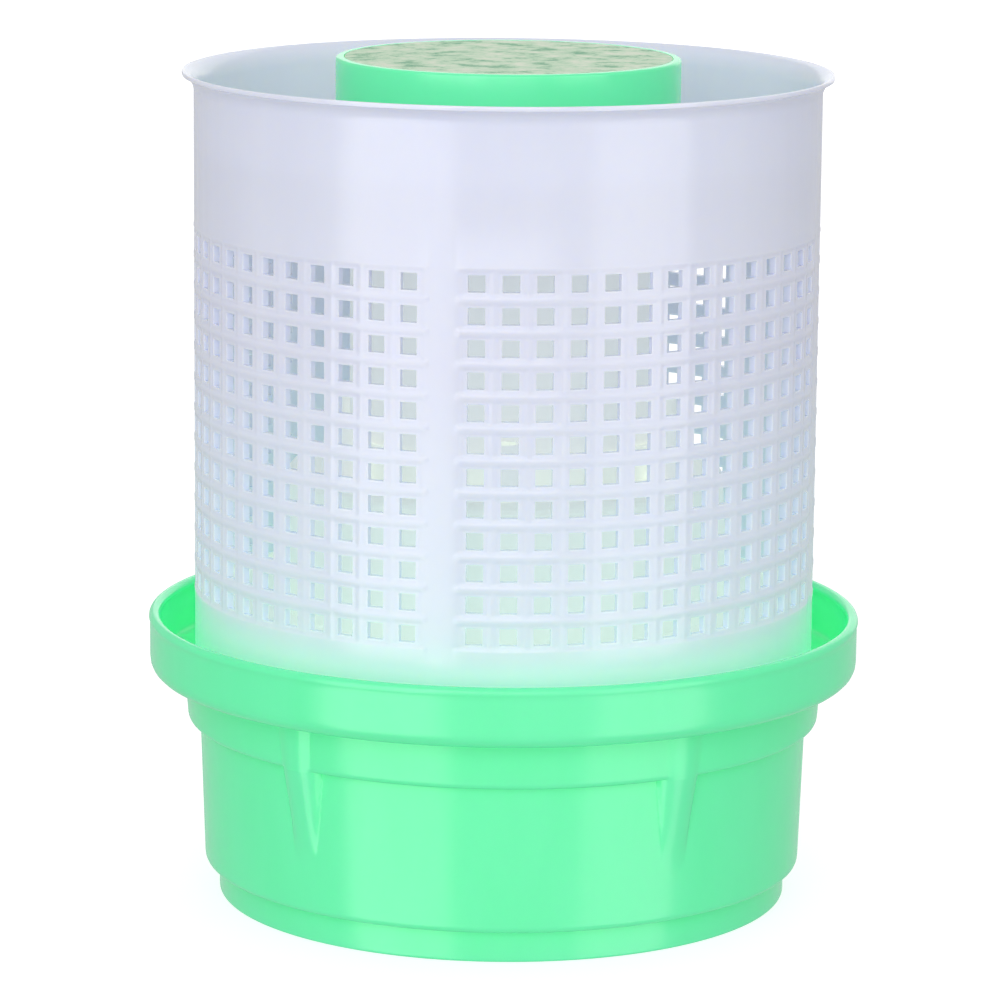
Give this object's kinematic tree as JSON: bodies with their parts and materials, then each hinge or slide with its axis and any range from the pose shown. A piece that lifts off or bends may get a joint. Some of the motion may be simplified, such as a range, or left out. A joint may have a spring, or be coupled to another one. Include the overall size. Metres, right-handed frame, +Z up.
{
  "type": "wasp trap",
  "caption": "Free-standing wasp trap: green bait bowl, perforated white cage, one-way dome and a central bait jar with a screw cap.",
  "frame": {"origin": "centre of the foot ring, on the surface that the trap stands on", "axes": "+Z up along the trap's axis, -Y towards the front, +X to the right seen from the front"},
  "size_m": [0.22, 0.22, 0.2601],
  "materials": {
    "green_plastic": "glossy mint-green polypropylene",
    "milky_plastic": "semi-translucent milky polypropylene",
    "sponge": "open-cell foam",
    "liner": "matt foamed sealing disc",
    "disc": "mottled beige-green film"
  },
  "bodies": {
    "root": {"bait_bowl": "green_plastic", "moat_floor": "green_plastic", "bowl_lip": "green_plastic"},
    "cage": {"cage_foot": "milky_plastic", "entry_ring": "milky_plastic", "mesh_panel_1": "milky_plastic", "mesh_panel_2": "milky_plastic", "mesh_panel_3": "milky_plastic", "mesh_panel_4": "milky_plastic", "mesh_panel_5": "milky_plastic", "mesh_panel_6": "milky_plastic", "mesh_panel_7": "milky_plastic", "mesh_panel_8": "milky_plastic", "mesh_panel_9": "milky_plastic", "mesh_panel_10": "milky_plastic", "mesh_panel_11": "milky_plastic", "mesh_panel_12": "milky_plastic", "mesh_post_1": "milky_plastic", "mesh_post_2": "milky_plastic", "mesh_post_3": "milky_plastic", "mesh_post_4": "milky_plastic", "cage_collar": "milky_plastic"},
    "dome": {"dome_flange": "milky_plastic", "dome_drum": "milky_plastic", "dome_roof": "milky_plastic", "dome_collar": "milky_plastic", "exit_cone_1": "milky_plastic", "exit_cone_2": "milky_plastic", "exit_cone_3": "milky_plastic", "exit_cone_4": "milky_plastic", "exit_cone_5": "milky_plastic", "exit_cone_6": "milky_plastic"},
    "cover": {"cage_cover": "milky_plastic"},
    "jar": {"bait_jar": "milky_plastic", "bait_sponge": "sponge"},
    "liner": {"cap_liner": "liner"},
    "cap": {"jar_cap": "green_plastic", "top_disc": "disc"}
  },
  "joints": [
    {"name": "cage_lift", "type": "slide", "parent": "root", "child": "cage", "axis": [0, 0, 1], "range_m": [0, 0.06]},
    {"name": "dome_lift", "type": "slide", "parent": "cage", "child": "dome", "axis": [0, 0, 1], "range_m": [0, 0.17]},
    {"name": "cover_lift", "type": "slide", "parent": "dome", "child": "cover", "axis": [0, 0, 1], "range_m": [0, 0.04]},
    {"name": "jar_lift", "type": "slide", "parent": "cover", "child": "jar", "axis": [0, 0, 1], "range_m": [0, 0.2]},
    {"name": "cap_lift", "type": "slide", "parent": "jar", "child": "liner", "axis": [0, 0, 1], "range_m": [0, 0.0075]},
    {"name": "cap_spin", "type": "hinge", "parent": "liner", "child": "cap", "pos_m": [0, 0, 0.25], "axis": [0, 0, 1], "range_deg": [0, 450]}
  ],
  "couplings": [
    {"joint": "cap_lift", "follows": "cap_spin", "m_per_rad": 0.00095493}
  ]
}
